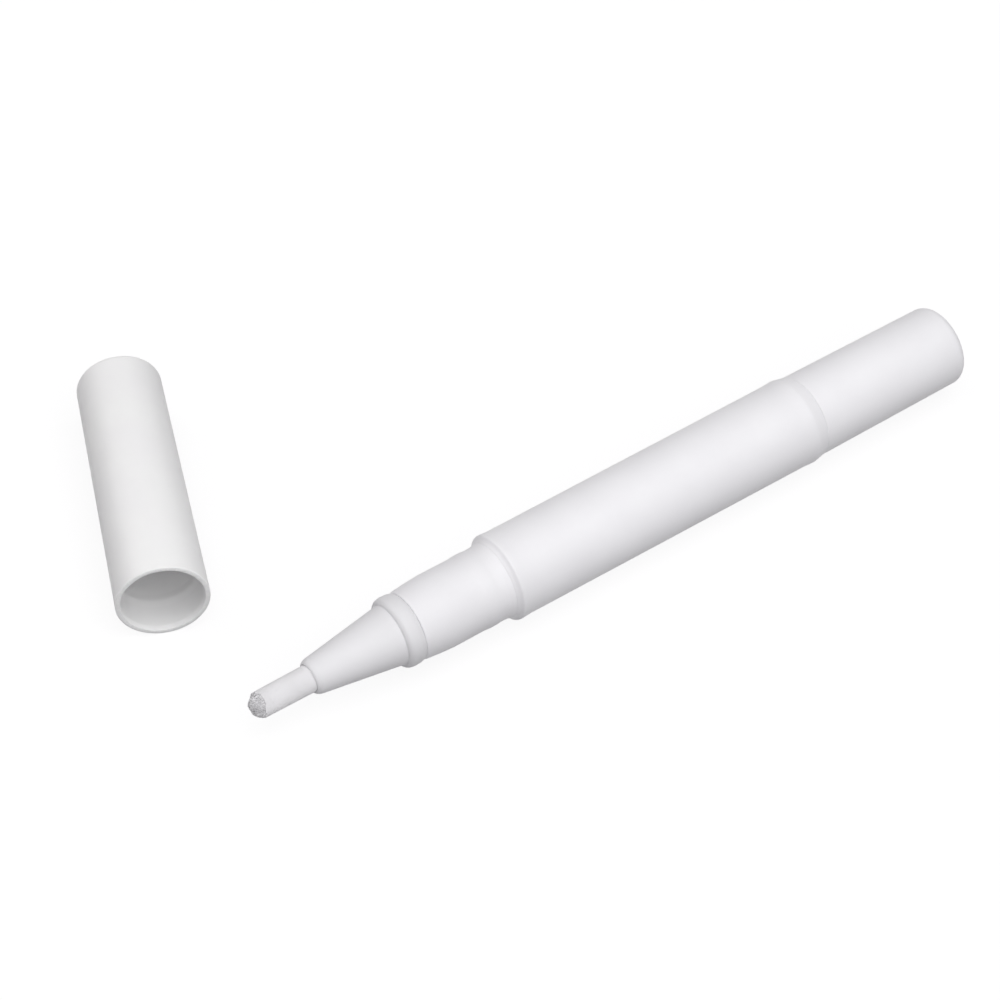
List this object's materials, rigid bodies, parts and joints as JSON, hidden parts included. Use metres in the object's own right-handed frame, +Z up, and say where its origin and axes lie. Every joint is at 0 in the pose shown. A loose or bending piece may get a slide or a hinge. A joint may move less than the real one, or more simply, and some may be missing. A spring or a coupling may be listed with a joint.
{
  "type": "nail treatment pen",
  "caption": "Twist-up nail treatment pen with a stubby round brush, tapered nozzle, stepped turning knob and a plain cap lying taken off beside it.",
  "frame": {"origin": "on the surface that the pen and its cap lie on, under the middle of the pair's bounding box", "axes": "+X along the pen from its brush to its turning knob, +Z up from the surface, +Y from the pen towards the side where the cap lies"},
  "size_m": [0.108, 0.0614, 0.0114],
  "materials": {
    "white_shell": "satin white moulded plastic",
    "white_nozzle": "satin white moulded plastic",
    "white_neck": "satin white moulded plastic",
    "bristle_nylon": "fine white nylon bristle",
    "soft_liner": "waxy natural polyethylene",
    "inner_sleeve": "natural plastic",
    "gear_plastic": "natural acetal",
    "seal_rubber": "matt",
    "spring_steel": "bright drawn wire"
  },
  "bodies": {
    "pen": {"barrel": "white_shell", "neck_insert": "white_neck", "neck_seal": "seal_rubber", "nozzle_cone": "white_nozzle", "brush_ferrule": "inner_sleeve", "feed_tube": "inner_sleeve", "brush_bristles": "bristle_nylon", "thread_nut": "gear_plastic"},
    "knob": {"knob_shell": "white_shell", "drive_sleeve": "gear_plastic", "click_ring": "gear_plastic", "click_spring": "spring_steel"},
    "piston": {"piston": "soft_liner"},
    "screw": {"screw_rod": "gear_plastic"},
    "cap": {"cap_shell": "white_shell", "cap_liner": "soft_liner"}
  },
  "joints": [
    {"name": "knob_turn", "type": "hinge", "parent": "pen", "child": "knob", "pos_m": [0.03167, -0.02504, 0.00563], "axis": [-1, 0, 0], "range_deg": [0, 4680]},
    {"name": "piston_feed", "type": "slide", "parent": "pen", "child": "piston", "axis": [-1, 0, 0], "range_m": [0, 0.0208]},
    {"name": "screw_turn", "type": "hinge", "parent": "piston", "child": "screw", "pos_m": [0.01927, -0.02504, 0.00563], "axis": [-1, 0, 0], "range_deg": [0, 4680]},
    {"name": "cap_pull", "type": "slide", "parent": "pen", "child": "cap", "axis": [0.3955, 0.9184, 0], "range_m": [0, 0.037]}
  ],
  "couplings": [
    {"joint": "knob_turn", "follows": "piston_feed", "rad_per_m": 3927},
    {"joint": "screw_turn", "follows": "piston_feed", "rad_per_m": 3927}
  ]
}
